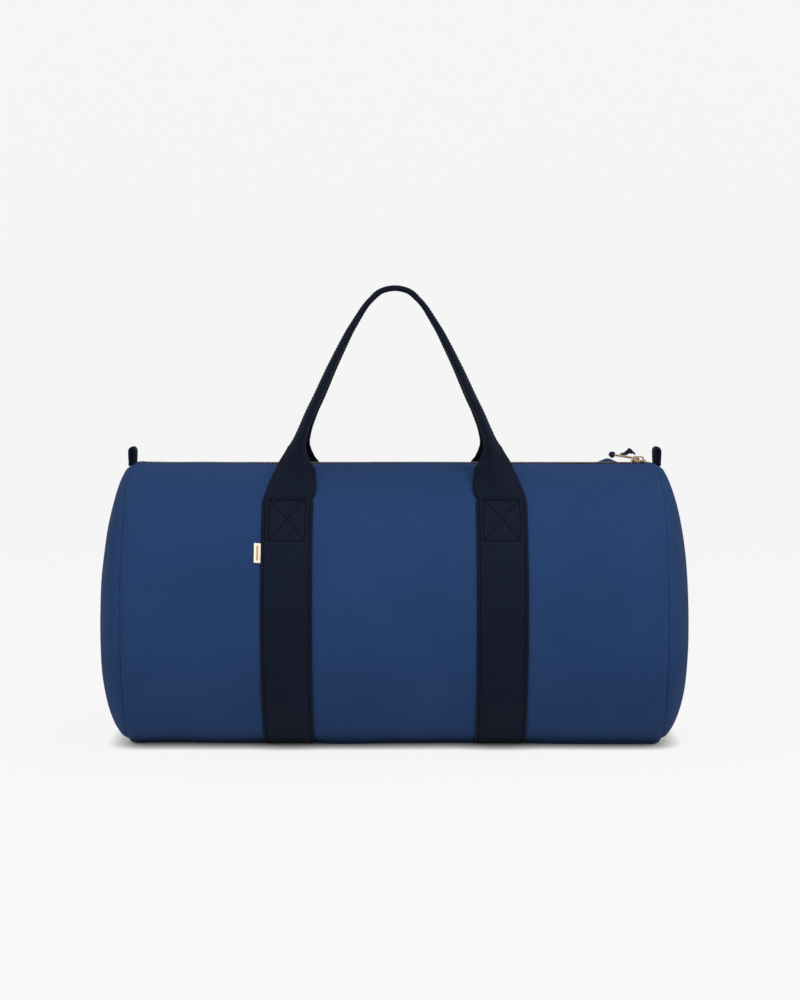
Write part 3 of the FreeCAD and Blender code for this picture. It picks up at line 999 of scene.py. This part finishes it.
PULL = next(j for j in frame["record"]["behaviour"]["joints"] if j["name"] == "pull_swing")
PULL_AXIS = Vector(PULL["pos_m"])
PULL_TIP = Vector((side("pull_knob", LOW, X) + side("pull_knob", HIGH, X), 0,
                   side("pull_knob", LOW, Z) + side("pull_knob", HIGH, Z))) / 2
PULL_TILT = math.radians(9)
PULL_PLACE = Matrix.Translation(PULL_AXIS) @ Matrix.Rotation(PULL_TILT, 4, "Y")


def pull():
    """The brass pull, with a window round the bridge and an eye for the ribbon, and its knot."""
    low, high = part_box("pull_tab")
    half = (high[Y] - low[Y]) / 2
    reach = 27 * MM
    outline = (
        arc(0.8 * MM - 1.4 * MM, half - 1.4 * MM, 1.4 * MM, 0, 90, 6)
        + [(-9 * MM, half), (-13 * MM, half - 0.9 * MM)]
        + arc(-reach + 2.2 * MM, 0, 2.2 * MM, 90, 270, 12)
        + [(-13 * MM, -half + 0.9 * MM), (-9 * MM, -half)]
        + arc(0.8 * MM - 1.4 * MM, -half + 1.4 * MM, 1.4 * MM, 270, 360, 6)
    )
    window = [(-0.8 * MM, 1.75 * MM), (-7.2 * MM, 1.75 * MM), (-7.2 * MM, -1.75 * MM), (-0.8 * MM, -1.75 * MM)]
    eye = arc(-10.6 * MM, 0, 1.1 * MM, 360, 20, 17)
    tab = plate("pull_bar", [outline, window, eye], 2.2 * MM, 0.35 * MM, PULL_PLACE, "pull", BRASS)
    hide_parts("pull_tab")
    radius = (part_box("pull_knob")[HIGH][Y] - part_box("pull_knob")[LOW][Y]) / 2
    verts, rings, columns = [], 18, 28
    for i in range(rings + 1):
        a = math.pi * i / rings
        for k in range(columns):
            b = 2 * math.pi * k / columns
            wrap = 1 + 0.07 * math.sin(3 * b + 4 * a) + 0.03 * noise.noise(Vector((3 * a, 2 * b, 1)))
            r = radius * wrap * 0.97
            ring_y, ring_z = r * math.sin(a) * math.cos(b), r * math.sin(a) * math.sin(b)
            verts.append(Vector((r * math.cos(a) * 1.05, ring_y, ring_z)) + PULL_TIP)
    knob = new_object("pull_knot", verts, grid_faces(rings + 1, columns, close_columns=True), "pull", RIBBON_CLOTH)
    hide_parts("pull_knob")


RIBBON_CLOTH = fabric("ribbon", (0.010, 0.013, 0.024), (0.020, 0.026, 0.046), 0.8 * MM, 0.8 * MM, 0.2 * MM,
                      0.7, 0.15, uv_based=False)
pull()


def ribbon():
    """The folded ribbon over the pull."""
    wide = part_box("pull_ribbon")[HIGH][Y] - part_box("pull_ribbon")[LOW][Y]
    path = ((-4.2, 4.0), (-6.6, 5.6), (-8.8, 7.4), (-10.0, 8.3), (-11.2, 7.9), (-12.6, 5.8),
            (-15.0, 3.3), (-18.6, 1.8))
    points = [PULL_PLACE @ Vector((x * MM, 0, z * MM)) for x, z in path]
    obj, _ = strap_along("ribbon_fold", smooth_path(points, 0.7 * MM), wide, 1.8 * MM, "ribbon", RIBBON_CLOTH)
    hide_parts("pull_ribbon")
    folds = (
        ("ribbon_under", ((-8.0, 5.6), (-9.4, 6.5), (-10.5, 6.4), (-11.6, 4.9), (-13.4, 2.9), (-15.8, 2.0))),
        ("ribbon_inner", ((-7.2, 4.6), (-9.0, 4.9), (-10.6, 4.7), (-12.0, 3.4), (-13.6, 2.2))),
    )
    for name, fold in folds:
        points = [PULL_PLACE @ Vector((x * MM, 0, z * MM)) for x, z in fold]
        inner, _ = strap_along(name, smooth_path(points, 0.7 * MM), wide * 0.9, 1.8 * MM, "ribbon", RIBBON_CLOTH)


ribbon()


# ---------------------------------------------------------------- studio

def studio():
    """Soft light on a pale round floor that turns up into a low wall, the same from every side. The floor gives
    off even light of its own, dimmed close to the bag as a painted contact shadow.
    """
    world = bpy.data.worlds.new("studio")
    bpy.context.scene.world = world
    world.use_nodes = True
    world.node_tree.nodes["Background"].inputs[0].default_value = (1, 1, 1, 1)
    world.node_tree.nodes["Background"].inputs[1].default_value = 0.6
    bpy.context.scene.view_settings.view_transform = "Standard"
    pale, tree, shader = material("pale_floor_painted_contact_shadow", (0.05, 0.05, 0.05), 0.9)
    shader.inputs["Specular IOR Level"].default_value = 0.0
    shader.inputs["Emission Color"].default_value = (1, 1, 1, 1)
    # An AO node dims the floor's emission near the bag: a painted contact shadow.
    painted_contact_shadow = node(tree, "ShaderNodeAmbientOcclusion", Distance=0.018)
    glow_with_painted_contact_shadow = math_node(tree, "MULTIPLY", math_node(tree, "POWER", painted_contact_shadow.outputs["AO"], 0.75), 0.875)
    tree.links.new(glow_with_painted_contact_shadow, shader.inputs["Emission Strength"])
    wide, bend, tall, around = 5.6, 1.4, 2.2, 96
    profile = [(0.02, 0), (1, 0), (3, 0), (wide, 0)]
    profile += [(wide + bend * math.sin(a), bend - bend * math.cos(a)) for a in spread(0.1, math.pi / 2, 0.1)]
    profile += [(wide + bend, tall)]
    turns = [2 * math.pi * k / around for k in range(around)]
    verts = [Vector((r * math.cos(turn), r * math.sin(turn), z)) for r, z in profile for turn in turns]
    faces = grid_faces(len(profile), around, close_columns=True) + [tuple(range(around))]
    sweep_floor = new_object("floor", verts, faces, None, pale)
    for name, place, size, power in (
        ("key", (0.9, -1.6, 2.0), 1.8, 40),
        ("fill", (-1.0, -2.0, 1.2), 1.8, 16),
        ("top", (0, 0.3, 2.6), 1.6, 14),
    ):
        light = bpy.data.lights.new(name, "AREA")
        light.size = size
        light.energy = power
        lamp = bpy.data.objects.new(name, light)
        lamp.location = place
        lamp.rotation_euler = (Vector(place) - Vector((0, 0, 0.2))).to_track_quat("Z", "Y").to_euler()
        bpy.context.collection.objects.link(lamp)


studio()
